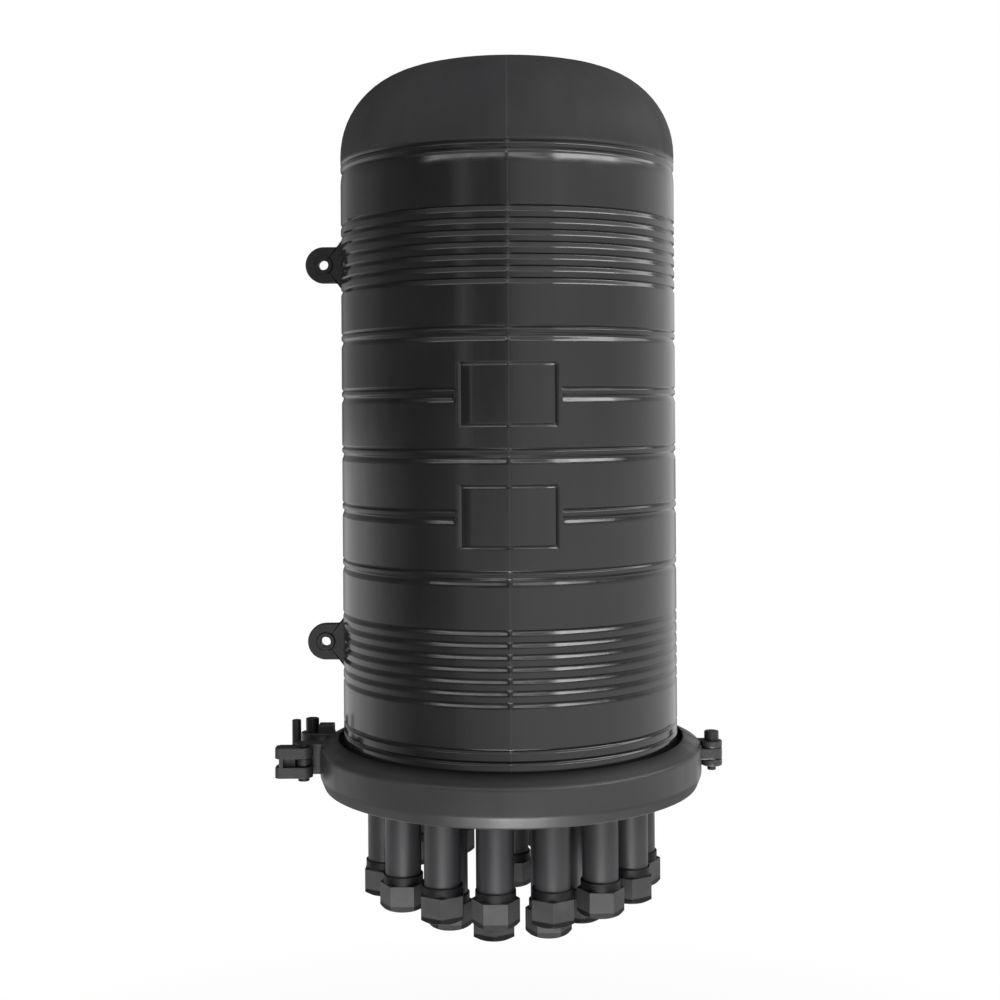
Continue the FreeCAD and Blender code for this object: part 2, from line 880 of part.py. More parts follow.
def splice_tray(middle_y):
    """Open tray with two winding hubs, a splice comb and a hinge barrel at its foot."""
    front = middle_y - tray_depth / 2
    rear = middle_y + tray_depth / 2
    floor = rear - tray_floor
    tray = tray_slab(0.0, front, rear).cut(tray_slab(tray_rim, front, floor))
    middle_z = tray_low + tray_length / 2
    pieces = [tray]
    for side in (-1, 1):
        hub_z = middle_z + side * (tray_length / 2 - tray_corner - tray_hub_radius)
        hub = rod_y(tray_hub_radius, front + tray_rim, floor, 0.0, hub_z)
        pieces.append(hub.cut(rod_y(tray_hub_radius - tray_hub_wall, front, floor, 0.0, hub_z)))
    pieces.append(splice_comb(floor, middle_z))
    half = tray_barrel_half
    pieces.append(rod_x(tray_barrel_radius, -half, half, middle_y, pin_z))
    pieces.append(block(-half, half, floor, rear, pin_z, tray_low + tray_rim))
    return fused(pieces).cut(rod_x(tray_pin_radius + face_clearance, -half, half, middle_y, pin_z))


def tray_hinge_pins():
    half = rack_half_width
    return Part.makeCompound([rod_x(tray_pin_radius, -half, half, y, pin_z) for y in tray_ys])


def tray_cover():
    front = tray_ys[-1] - tray_depth / 2
    return tray_slab(0.0, front - cover_thickness, front)


def splitter_module():
    half = splitter_half_width
    rear = frame_rear_y + splitter_depth
    box = block(-half, half, frame_rear_y, rear, splitter_low, splitter_low + splitter_length)
    boots = [
        cylinder(splitter_boot_radius, splitter_low - splitter_boot_length, splitter_low + sheet,
                 side * splitter_boot_offset, frame_rear_y + splitter_depth / 2)
        for side in (-1, 1)
    ]
    return fused([box] + boots)


def splitter_clip():
    inner = splitter_half_width + tray_clearance
    outer = inner + clip_sheet
    foot = outer + clip_foot
    crest = frame_rear_y + splitter_depth
    low_face = frame_rear_y
    clip = plan_solid(
        [
            (-foot, low_face),
            (-inner, low_face),
            (-inner, crest),
            (inner, crest),
            (inner, low_face),
            (foot, low_face),
            (foot, low_face + clip_sheet),
            (outer, low_face + clip_sheet),
            (outer, crest + clip_sheet),
            (-outer, crest + clip_sheet),
            (-outer, low_face + clip_sheet),
            (-foot, low_face + clip_sheet),
        ],
        clip_low,
        clip_low + clip_width,
    )
    hole = screw_radius + screw_clearance
    for side in (-1, 1):
        clip = clip.cut(rod_y(
            hole, low_face, low_face + clip_sheet, side * clip_screw_x, clip_low + clip_width / 2
        ))
    return clip


def slack_basket():
    half = basket_half_width
    near = frame_rear_y
    far = near + basket_depth
    high = basket_low + basket_height
    wall = basket_wall
    basket = block(-half, half, near, far, basket_low, high)
    basket = basket.cut(
        block(wall - half, half - wall, near + wall, far - wall, basket_low + wall, high)
    )
    basket = basket.cut(
        block(-half, half, near + wall + basket_depth / 4, far, basket_low + basket_height / 2, high)
    )
    hole = screw_radius + screw_clearance
    for side in (-1, 1):
        basket = basket.cut(rod_y(hole, near, near + wall, side * basket_screw_x, basket_screw_z))
    return basket


def cable_clamp(degrees):
    """Strength-member clamp: a block with a groove towards its port."""
    half = cable_clamp_width / 2
    near = cable_clamp_circle - cable_clamp_depth / 2
    far = cable_clamp_circle + cable_clamp_depth / 2
    high = plate_z + cable_clamp_height
    clamp = block(-half, half, -far, -near, plate_z, high)
    clamp = clamp.cut(cylinder(cable_clamp_groove, plate_z, high, 0.0, -near))
    clamp = clamp.cut(
        cylinder(screw_radius + screw_clearance, plate_z, high, 0.0, -cable_clamp_circle)
    )
    clamp.rotate(vec(0, 0, 0), vec(0, 0, 1), degrees)
    return clamp


def clamp_screws():
    seat = plate_z + cable_clamp_height
    low = plate_z - screw_bite + screw_clearance
    return Part.makeCompound([upright_screw(x, y, seat, low) for x, y in cable_clamp_places])


screw_end_y = frame_front_y + screw_clearance
shapes = {
    "dome_cover": dome_cover(),
    "clamp_half_front": clamp_half_front(),
    "clamp_half_rear": clamp_half_rear(),
    "latch_keeper": latch_keeper(),
    "clamp_hinge_pin": clamp_hinge_pin(),
    "latch_bolt_pin": latch_bolt_pin(),
    "latch_swing_bolt": latch_swing_bolt(),
    "latch_cam_lever": latch_cam_lever(),
    "latch_lever_pin": latch_lever_pin(),
    "base_body": base_body(),
    "base_seal_ring": base_seal_ring(),
    "drop_port_nuts": nuts(drop_places, 0.0),
    "drop_port_plugs": plugs(drop_places, 0.0),
    "inlet_port_nuts": nuts(inlet_places, -inlet_extra_reach),
    "inlet_port_plugs": plugs(inlet_places, -inlet_extra_reach),
    "centre_port_nut": port_nut(0.0, 0.0, 0.0, port_bore_radius, 0.0),
    "tray_frame": tray_frame(),
    "frame_screws": frame_screws(),
    "tray_rack": tray_rack(),
    "rack_screws": screw_pair(
        rack_screw_x, rack_screw_z, frame_rear_y, frame_front_y - rack_back + screw_clearance
    ),
    "tray_hinge_pins": tray_hinge_pins(),
    "tray_cover": tray_cover(),
    "splitter_module": splitter_module(),
    "splitter_clip": splitter_clip(),
    "clip_screws": screw_pair(
        clip_screw_x, clip_low + clip_width / 2, frame_rear_y + clip_sheet, screw_end_y
    ),
    "slack_basket": slack_basket(),
    "basket_screws": screw_pair(
        basket_screw_x, basket_screw_z, frame_rear_y + basket_wall, screw_end_y
    ),
    "cable_clamps": Part.makeCompound([cable_clamp(degrees) for degrees in inlet_degs]),
    "clamp_screws": clamp_screws(),
}
for number, tray_y in enumerate(tray_ys, start=1):
    shapes["splice_tray_%d" % number] = splice_tray(tray_y)

os.makedirs("parts", exist_ok=True)
for name, shape in shapes.items():
    shape.exportStep(os.path.join("parts", name + ".step"))
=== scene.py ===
import math

import bmesh
import bpy
from mathutils import Matrix, Vector


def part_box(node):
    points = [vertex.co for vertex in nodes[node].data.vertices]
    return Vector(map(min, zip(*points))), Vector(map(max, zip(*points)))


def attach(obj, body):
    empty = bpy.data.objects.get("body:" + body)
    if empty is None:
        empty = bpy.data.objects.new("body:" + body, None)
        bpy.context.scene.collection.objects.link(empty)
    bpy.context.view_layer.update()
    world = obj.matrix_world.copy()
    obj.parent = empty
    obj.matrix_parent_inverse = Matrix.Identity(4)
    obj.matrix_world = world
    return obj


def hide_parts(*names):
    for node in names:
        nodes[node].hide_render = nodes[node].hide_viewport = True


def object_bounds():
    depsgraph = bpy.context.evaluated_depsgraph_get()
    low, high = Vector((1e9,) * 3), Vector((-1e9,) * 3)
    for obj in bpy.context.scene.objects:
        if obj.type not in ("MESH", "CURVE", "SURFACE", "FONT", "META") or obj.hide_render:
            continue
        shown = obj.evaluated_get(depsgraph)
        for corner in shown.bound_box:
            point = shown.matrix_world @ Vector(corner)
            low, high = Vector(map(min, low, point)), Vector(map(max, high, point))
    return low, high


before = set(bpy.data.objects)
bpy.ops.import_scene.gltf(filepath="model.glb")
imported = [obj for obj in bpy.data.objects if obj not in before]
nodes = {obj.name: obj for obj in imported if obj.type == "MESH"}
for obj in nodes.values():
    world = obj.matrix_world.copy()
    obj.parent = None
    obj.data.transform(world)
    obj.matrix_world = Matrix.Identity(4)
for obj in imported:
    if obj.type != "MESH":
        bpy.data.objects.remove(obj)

# The looks of a fibre splitter closure: a moulded dome with soft-edged grooves, a clamp hoop and a ring
# of cable ports. Named lengths are in metres and named angles in degrees, except where a heading says
# millimetres. The front faces -Y.

MM = 0.001
cad_low, cad_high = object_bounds()

# Dome sizes
dome_low, dome_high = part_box("dome_cover")
seat_z = dome_low.z
top_z = dome_high.z
dome_radius = 101 * MM
dome_wall = 3 * MM
flange_radius = 110 * MM
flange_rim = 5.5 * MM
flange_root = 8 * MM
foot_round = 0.5 * MM
foot_clear = 1 * MM
shoulder_radius = 51 * MM
crown_rise = 5.5 * MM

# Grooves by kind: offset from the middle, reach of the upper slope, reach of the lower slope, depth
band_grooves = [
    (3.2 * MM, 1.1 * MM, 1.1 * MM, 0.8 * MM),
    (-1.2 * MM, 1.4 * MM, 3.6 * MM, 1.1 * MM),
]
top_band_grooves = band_grooves + [(-1.2 * MM, 1.4 * MM, 7.0 * MM, 0.6 * MM)]
ridge_grooves = [
    (3.2 * MM, 1.3 * MM, 1.3 * MM, 1.0 * MM),
    (-3.2 * MM, 1.3 * MM, 1.3 * MM, 1.0 * MM),
]
group_groove = (0.0, 0.8 * MM, 2.8 * MM, 1.1 * MM)

# Heights from the ridge up to the cap: groups of grooves, bands and label frames
group_ribs = 6
group_pitch = 6.6 * MM
group_height = group_ribs * group_pitch
band_pitch = 33.5 * MM
ridge_z = seat_z + 20.75 * MM
lower_group_z = ridge_z + 29.25 * MM
band_a_z = lower_group_z + group_height + 28.8 * MM
label_2_z = band_a_z + band_pitch
band_b_z = label_2_z + band_pitch
label_1_z = band_b_z + band_pitch
band_c_z = label_1_z + band_pitch
upper_group_z = band_c_z + 29.6 * MM
band_d_z = upper_group_z + group_height + 32.4 * MM
cap_z = top_z - shoulder_radius - crown_rise
cap_matt_z = band_d_z + 3.2 * MM
cap_matt_fade = 3 * MM

# Label frames and the bands beside them: half sizes to the middle of the frame's groove
label_half_width = 26.15 * MM
label_half_heights = {label_1_z: 16.9 * MM, label_2_z: 16.6 * MM}
label_reach = 1.2 * MM
label_depth = 0.9 * MM
label_level_depth = 0.35 * MM
label_corner = 2.0 * MM
label_band_x = 29.0 * MM
label_band_fade = 1.2 * MM

# Mould seam at the front and the back: a fine ridge on a land where the grooves are shallower
seam_land = 0.4 * MM
seam_fade = 1.6 * MM
seam_share = 0.55
seam_reach = 0.5 * MM
seam_proud = 0.03 * MM

# Mesh of the dome: steps, and where its lines lie across a groove, a label's edge and a band's end
turn_steps = 144
cap_steps = 14
inner_cap_steps = 8
angle_digits = 6
least_step = 0.08 * MM
flat_margin = 0.4 * MM
groove_lines = (-1.0, -0.62, -0.3, 0.0, 0.3, 0.62, 1.0)
label_lines = (-1.0, -0.5, 0.0, 0.5, 1.0)
band_end_lines = (0.0, 1 / 3, 2 / 3, 1.0)

# Hanging lugs
lug_x = -112 * MM
lug_spacing = 229 * MM
lug_low_z = lower_group_z + group_height / 2
lug_zs = [lug_low_z, lug_low_z + lug_spacing]
lug_radius = 11 * MM
lug_fillet = 4 * MM
lug_half = 2.5 * MM
lug_round = 0.6 * MM
lug_sink = 1.5 * MM
lug_hole_radius = 3 * MM
lug_rim_radius = 5.6 * MM
lug_rim_proud = 1 * MM
lug_rim_round = 0.35 * MM
lug_fillet_steps = 6
lug_ear_steps = 24

# Clamp hoop, in millimetres: radii, and heights from the seat
hoop_inside = 104.0
hoop_outside = 115.38
hoop_bottom = -15.0
channel_radius = 110.3
channel_mouth_half = 7.47
channel_floor_half = 5.72
hoop_split = 0.3
hoop_end_round = 0.5
hoop_steps = 80

# Section of the hoop by radius and height, anticlockwise: foot, waist, shoulder, lip and channel
hoop_foot = [
    (hoop_inside, hoop_bottom), (111.5, hoop_bottom), (112.1, hoop_bottom),
    (112.75, -14.7), (113.1, -14.1), (113.3, -13.6),
]
hoop_waist = [
    (114.5, -10.5), (114.7, -10.0), (115.05, -9.1), (115.3, -8.2),
    (hoop_outside, -7.4), (hoop_outside, -6.8),
]
hoop_shoulder = [
    (hoop_outside, 5.4), (hoop_outside, 6.0), (115.2, 6.9), (114.7, 7.7), (114.0, 8.25), (113.4, 8.57),
]
hoop_lip = [(105.3, 12.88), (104.8, 13.15), (104.3, 13.2), (hoop_inside, 12.9), (hoop_inside, 12.4)]
hoop_channel = [
    (hoop_inside, channel_mouth_half), (channel_radius, channel_floor_half),
    (channel_radius, -channel_floor_half), (hoop_inside, -channel_mouth_half),
]
hoop_section = hoop_foot + hoop_waist + hoop_shoulder + hoop_lip + hoop_channel

# Hinge of the hoop, in millimetres
hinge_x = 122.4
hinge_root_x = 112.4
knuckle_radius = 6.4
rear_knuckles = [(-7.0, -3.0), (4.0, 8.0)]
front_knuckle = (-2.8, 3.8)

# Latch of the hoop, in millimetres
latch_x = -123.6
latch_root_x = -110.0
fork_y = 22.0
fork_radius = 7.0
fork_steps = 24
fork_prongs = [(-8.0, -1.6), (3.6, 10.0)]
gusset_half = 4.2
gusset_heights = (3.6, 15.0)
keeper_root_x = -116.6
keeper_root_sides = (-13.8, -4.2)
keeper_heights = (-7.8, 9.8)
lever_core_ends = (-135.7, -128.4)
lever_core_sides = (-22.0, -14.9)
lever_core_heights = (-2.0, 4.0)

# Rounded edges of the blocks on the hoop and in the lever, in millimetres
edge_round = 0.6
edge_margin = 0.3

# Rounded edges of some solids that show outside, by width
soft_edges = {
    "latch_keeper": 0.6 * MM,
    "latch_swing_bolt": 0.5 * MM,
    "latch_cam_lever": 0.6 * MM,
    "clamp_hinge_pin": 0.4 * MM,
    "latch_bolt_pin": 0.4 * MM,
    "latch_lever_pin": 0.3 * MM,
    "drop_port_nuts": 0.6 * MM,
    "inlet_port_nuts": 0.6 * MM,
    "centre_port_nut": 0.6 * MM,
}
soft_segments = 2
soft_deg = 40
flat_deg = 1
weld_gap = 0.01 * MM
even_weight = 100

# Angle from which an edge of the scene's own pieces is sharp
sharp_deg = 42

# Finish of each solid that no piece replaces
node_finishes = {
    "hoop": ["latch_keeper"],
    "latch": ["latch_swing_bolt", "latch_cam_lever"],
    "base": ["base_body"],
    "drop_nut": ["drop_port_nuts"],
    "inlet_nut": ["inlet_port_nuts"],
    "centre_nut": ["centre_port_nut"],
    "pin": ["clamp_hinge_pin", "latch_bolt_pin", "latch_lever_pin"],
    "rubber": ["base_seal_ring", "drop_port_plugs", "inlet_port_plugs"],
    "tray": [
        "splice_tray_1", "splice_tray_2", "splice_tray_3", "splice_tray_4", "tray_rack", "slack_basket",
    ],
    "splitter": ["splitter_module"],
    "frame": ["tray_frame"],
    "steel": [
        "frame_screws", "rack_screws", "clip_screws", "basket_screws", "clamp_screws",
        "tray_hinge_pins", "splitter_clip", "cable_clamps",
    ],
    "clear": ["tray_cover"],
}

# Range of a noise that the finishes use
noise_low = 0.3
noise_high = 0.7

# Marks of the finishes: their sizes, how much longer they are along each axis, and their depths
cloud_size = 45 * MM
scuff_size = 9 * MM
scuff_stretch = (1.0, 1.0, 6.0)
grain_size = 0.5 * MM
mark_size = 2.2 * MM
mark_stretch = (1.0, 1.0, 40.0)
dome_grain_size = 0.7 * MM
dome_mark_size = 4 * MM
nut_cloud_size = 12 * MM
nut_scuff_size = 4 * MM
metal_cloud_size = 30 * MM
brush_size = 0.6 * MM
brush_stretch = (1.0, 1.0, 30.0)
no_stretch = (1.0, 1.0, 1.0)
wave_size = 20 * MM
paper_size = 0.4
coarse_grain_depth = 0.05 * MM
fine_grain_depth = 0.03 * MM
base_mark_depth = 0.02 * MM
dome_grain_depth = 0.02 * MM
dome_mark_depth = 0.09 * MM
brush_depth = 0.02 * MM

# Roughness from its least to its most, and strength of mirroring
wall_roughness = (0.12, 0.22)
cap_roughness = (0.54, 0.66)
hoop_roughness = (0.32, 0.44)
nut_roughness = (0.32, 0.46)
clear_roughness = (0.05, 0.14)
paper_roughness = 0.9
usual_mirror = 0.5
cap_mirror = 0.16
# Mirroring in the painted shade on the hoop's top round the dome
gap_shade_mirror = 0.08
nut_mirror = 0.25
dome_index = 1.6
clear_share = 0.9

# Painted shade on the hoop's top round the dome and on the nuts' collars, and a darker lip at the nuts'
# foot
gap_shade_radius = 104.5 * MM
gap_shade_end_radius = 111.5 * MM
nut_collar = 4.8 * MM
nut_lip = 3.6 * MM
nut_blend = 0.3 * MM

# Camera: the photo's size, focal length, horizon and axis in pixels, then its sensor and place
image_size = 1000
focal_px = 1533
horizon_px = 405
axis_px = 508.5
sensor_mm = 36.0
camera_distance = 0.935
eye_height = 0.291
roll_deg = -0.38

# Brightness of the room, its upper part and the floor in reflections, by degrees round from the front
room_levels = [
    (-180, 0.08),
    (-165, 0.10),
    (-150, 0.40),
    (-104, 0.30),
    (-88, 0.14),
    (-64, 0.09),
    (-36, 0.12),
    (-29, 0.7),
    (-22, 0.17),
    (-6, 0.2),
    (8, 0.75),
    (33, 0.9),
    (70, 0.75),
    (96, 0.85),
    (112, 1.0),
    (154, 1.0),
    (164, 0.7),
    (173, 0.15),
]
upper_levels = [
    (-180, 0.05),
    (-90, 0.05),
    (-50, 0.5),
    (0, 0.7),
    (30, 1.0),
    (120, 1.0),
    (160, 0.1),
]
floor_levels = [
    (-180, 0.10),
    (-164, 0.2),
    (-148, 0.85),
    (-112, 0.9),
    (-88, 0.4),
    (-64, 0.08),
    (-40, 0.25),
    (-26, 0.55),
    (-4, 0.7),
    (6, 0.95),
    (33, 1.0),
    (152, 1.0),
    (166, 0.15),
]

# Room: where the ceiling darkens and the upper part starts, as the upward part of a direction
ceiling_level = 0.1
ceiling_start = 0.14
ceiling_full = 0.5
upper_start = 0.42
upper_full = 0.55
ambient_level = 0.5

# Floor: its place, the dark ring in reflections and the shadow, by distance from the axis
floor_size = 40.0
floor_drop = 0.25
ring_level = 0.3
ring_start = (0.36, 0.44)
ring_end = (0.90, 1.25)
shadow_inside = 0.3
shadow_outside = 0.7
shadow_share = 0.8

# Lamps
lamp_aim = (0.0, 0.0, 0.25)


def start_material(name):
    """New material with its tree, its shader and the place of each point on the object."""
    material = bpy.data.materials.new(name)
    material.use_nodes = True
    tree = material.node_tree
    shader = tree.nodes["Principled BSDF"]
    place = tree.nodes.new("ShaderNodeTexCoord").outputs["Object"]
    return material, tree, shader, place


def feed(shader, name, source):
    """Link a source to one of a shader's sockets."""
    shader.id_data.links.new(source, shader.inputs[name])


def fill(tree, socket, value):
    """Give a socket a number, or link another socket to it."""
    if isinstance(value, float):
        socket.default_value = value
    else:
        tree.links.new(value, socket)


def noise(tree, place, size, detail=3.0, stretch=no_stretch):
    """Noise whose grains are about the given size, longer along an axis where stretch is above 1."""
    mapping = tree.nodes.new("ShaderNodeMapping")
    mapping.inputs["Scale"].default_value = [1.0 / size / along for along in stretch]
    texture = tree.nodes.new("ShaderNodeTexNoise")
    texture.inputs["Scale"].default_value = 1.0
    texture.inputs["Detail"].default_value = detail
    tree.links.new(place, mapping.inputs["Vector"])
    tree.links.new(mapping.outputs["Vector"], texture.inputs["Vector"])
    return texture.outputs["Fac"]


def spread(tree, source, low, high, from_low=noise_low, from_high=noise_high):
    """A value that goes from low to high while its source goes through a range."""
    ranged = tree.nodes.new("ShaderNodeMapRange")
    ranged.inputs["From Min"].default_value = from_low
    ranged.inputs["From Max"].default_value = from_high
    ranged.inputs["To Min"].default_value = low
    ranged.inputs["To Max"].default_value = high
    tree.links.new(source, ranged.inputs["Value"])
    return ranged.outputs["Result"]


def tint(tree, source, dark, light):
    """A colour between two that follows a noise."""
    ramp = tree.nodes.new("ShaderNodeValToRGB")
    elements = ramp.color_ramp.elements
    for element, position, colour in zip(elements, (noise_low, noise_high), (dark, light)):
        element.position = position
        element.color = (*colour, 1.0)
    tree.links.new(source, ramp.inputs["Fac"])
    return ramp.outputs["Color"]


def blended(tree, share, low, high):
    """A number between two, by a share; each end is a number or a socket."""
    mix = tree.nodes.new("ShaderNodeMix")
    mix.data_type = "FLOAT"
    tree.links.new(share, mix.inputs["Factor"])
    fill(tree, mix.inputs["A"], low)
    fill(tree, mix.inputs["B"], high)
    return mix.outputs["Result"]


def math_node(tree, operation, first, second):
    """Result of a sum on two numbers or sockets."""
    node = tree.nodes.new("ShaderNodeMath")
    node.operation = operation
    fill(tree, node.inputs[0], first)
    fill(tree, node.inputs[1], second)
    return node.outputs["Value"]


def mixed_colour(tree, share, low, high):
    """A colour between two, by a share."""
    mix = tree.nodes.new("ShaderNodeMixRGB")
    tree.links.new(share, mix.inputs["Fac"])
    tree.links.new(low, mix.inputs["Color1"])
    tree.links.new(high, mix.inputs["Color2"])
    return mix.outputs["Color"]


def bump(tree, source, depth, strength=0.5, below=None):
    """Bump of a given depth, on top of another one."""
    node = tree.nodes.new("ShaderNodeBump")
    node.inputs["Strength"].default_value = strength
    node.inputs["Distance"].default_value = depth
    tree.links.new(source, node.inputs["Height"])
    if below is not None:
        tree.links.new(below, node.inputs["Normal"])
    return node.outputs["Normal"]


def split_place(tree, place):
    """X, Y and Z of a place."""
    split = tree.nodes.new("ShaderNodeSeparateXYZ")
    tree.links.new(place, split.inputs["Vector"])
    return split.outputs


def from_axis(tree, place):
    """Distance of a place from the upright axis."""
    level = tree.nodes.new("ShaderNodeVectorMath")
    level.operation = "MULTIPLY"
    level.inputs[1].default_value = (1.0, 1.0, 0.0)
    tree.links.new(place, level.inputs[0])
    length = tree.nodes.new("ShaderNodeVectorMath")
    length.operation = "LENGTH"
    tree.links.new(level.outputs["Vector"], length.inputs[0])
    return length.outputs["Value"]


def scuffs_on(tree, place):
    """Noise for the uneven gloss of a moulding."""
    return noise(tree, place, scuff_size, detail=5.0, stretch=scuff_stretch)


def grain_on(tree, place, depth):
    """Fine grain of a moulding."""
    return bump(tree, noise(tree, place, grain_size, detail=2.0), depth)


def moulded_plastic(name, dark, light, roughness, uneven, grain_depth, mark_depth=0.0):
    """Moulded plastic: clouded colour, uneven gloss, fine grain and, on some, upright draw marks."""
    material, tree, shader, place = start_material(name)
    feed(shader, "Base Color", tint(tree, noise(tree, place, cloud_size), dark, light))
    gloss = spread(tree, scuffs_on(tree, place), roughness - uneven, roughness + uneven)
    feed(shader, "Roughness", gloss)
    normal = grain_on(tree, place, grain_depth)
    if mark_depth:
        marks = noise(tree, place, mark_size, detail=2.0, stretch=mark_stretch)
        normal = bump(tree, marks, mark_depth, below=normal)
    feed(shader, "Normal", normal)
    return material


def dome_colour(tree, place, on_cap):
    """Black wall, dark grey cap and a lighter line along the seams."""
    clouds = noise(tree, place, cloud_size)
    wall = tint(tree, clouds, (0.0088, 0.0089, 0.0096), (0.0128, 0.0129, 0.0138))
    cap = tint(tree, clouds, (0.024, 0.0243, 0.0258), (0.034, 0.0343, 0.036))
    wall_seam = tint(tree, clouds, (0.017, 0.017, 0.018), (0.024, 0.024, 0.025))
    cap_seam = tint(tree, clouds, (0.042, 0.042, 0.044), (0.056, 0.056, 0.058))
    face = mixed_colour(tree, on_cap, wall, cap)
    seam = mixed_colour(tree, on_cap, wall_seam, cap_seam)
    aside = math_node(tree, "ABSOLUTE", split_place(tree, place)["X"], 0.0)
    on_seam = spread(tree, aside, 1.0, 0.0, seam_reach / 4, seam_reach)
    return mixed_colour(tree, on_seam, face, seam)


def dome_plastic(name):
    """Black moulding: glossy wall with faint upright draw marks, and a matt cap."""
    material, tree, shader, place = start_material(name)
    shader.inputs["IOR"].default_value = dome_index
    height = split_place(tree, place)["Z"]
    on_cap = spread(tree, height, 0.0, 1.0, cap_matt_z, cap_matt_z + cap_matt_fade)
    feed(shader, "Base Color", dome_colour(tree, place, on_cap))
    scuffs = scuffs_on(tree, place)
    gloss = spread(tree, scuffs, *wall_roughness)
    matt = spread(tree, scuffs, *cap_roughness)
    feed(shader, "Roughness", blended(tree, on_cap, gloss, matt))
    feed(shader, "Specular IOR Level", blended(tree, on_cap, usual_mirror, cap_mirror))
    grain = noise(tree, place, dome_grain_size, detail=2.0)
    marks = noise(tree, place, dome_mark_size, stretch=mark_stretch)
    normal = bump(tree, grain, dome_grain_depth, strength=0.3)
    feed(shader, "Normal", bump(tree, marks, dome_mark_depth, strength=0.6, below=normal))
    return material


def hoop_plastic(name):
    """Matt grey moulding with painted shade: darker colour and weaker mirroring towards the gap round
    the dome.
    """
    material, tree, shader, place = start_material(name)
    # Painted shade: colour and mirroring fall off towards the gap round the dome
    gap_shade = spread(tree, from_axis(tree, place), 1.0, 0.0, gap_shade_radius, gap_shade_end_radius)
    clouds = noise(tree, place, cloud_size)
    face = tint(tree, clouds, (0.024, 0.024, 0.025), (0.032, 0.032, 0.033))
    # Colour of the painted shade round the dome
    gap = tint(tree, clouds, (0.006, 0.006, 0.006), (0.009, 0.009, 0.009))
    feed(shader, "Base Color", mixed_colour(tree, gap_shade, face, gap))
    feed(shader, "Roughness", spread(tree, scuffs_on(tree, place), *hoop_roughness))
    feed(shader, "Specular IOR Level", blended(tree, gap_shade, usual_mirror, gap_shade_mirror))
    feed(shader, "Normal", grain_on(tree, place, coarse_grain_depth))
    return material


def nut_plastic(name, node):
    """Moulded nut: grained grey faces between a collar in painted shade and a darker lip at the foot."""
    material, tree, shader, place = start_material(name)
    shader.inputs["Specular IOR Level"].default_value = nut_mirror
    collar_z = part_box(node)[1].z - nut_collar
    lip_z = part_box(node)[0].z + nut_lip
    height = split_place(tree, place)["Z"]
    # Painted shade on the collar at the top of the nut; the lip at the foot is a plain darker band
    on_collar_shade = spread(tree, height, 0.0, 1.0, collar_z - nut_blend, collar_z + nut_blend)
    on_lip = spread(tree, height, 1.0, 0.0, lip_z - nut_blend, lip_z + nut_blend)
    on_shade_and_foot = math_node(tree, "MAXIMUM", on_collar_shade, on_lip)
    clouds = noise(tree, place, nut_cloud_size)
    faces = tint(tree, clouds, (0.040, 0.040, 0.041), (0.054, 0.054, 0.055))
    # Colour of the painted shade on the collar, also used for the darker lip
    dark = tint(tree, clouds, (0.006, 0.006, 0.007), (0.010, 0.010, 0.011))
    feed(shader, "Base Color", mixed_colour(tree, on_shade_and_foot, faces, dark))
    scuffs = noise(tree, place, nut_scuff_size, detail=4.0)
    feed(shader, "Roughness", spread(tree, scuffs, *nut_roughness))
    feed(shader, "Normal", grain_on(tree, place, coarse_grain_depth))
    return material


def sheet_metal(name, dark, light, roughness, uneven, stretch):
    """Bare metal with a fine grain, brushed where the stretch is above 1."""
    material, tree, shader, place = start_material(name)
    shader.inputs["Metallic"].default_value = 1.0
    feed(shader, "Base Color", tint(tree, noise(tree, place, metal_cloud_size), dark, light))
    brushed = noise(tree, place, brush_size, stretch=stretch)
    feed(shader, "Roughness", spread(tree, brushed, roughness - uneven, roughness + uneven))
    feed(shader, "Normal", bump(tree, brushed, brush_depth, strength=0.4))
    return material


def clear_sheet(name):
    """Clear plastic lid with a faint waviness."""
    material, tree, shader, place = start_material(name)
    shader.inputs["Transmission Weight"].default_value = clear_share
    waves = noise(tree, place, wave_size)
    feed(shader, "Base Color", tint(tree, waves, (0.80, 0.83, 0.84), (0.88, 0.90, 0.91)))
    feed(shader, "Roughness", spread(tree, waves, *clear_roughness))
    return material


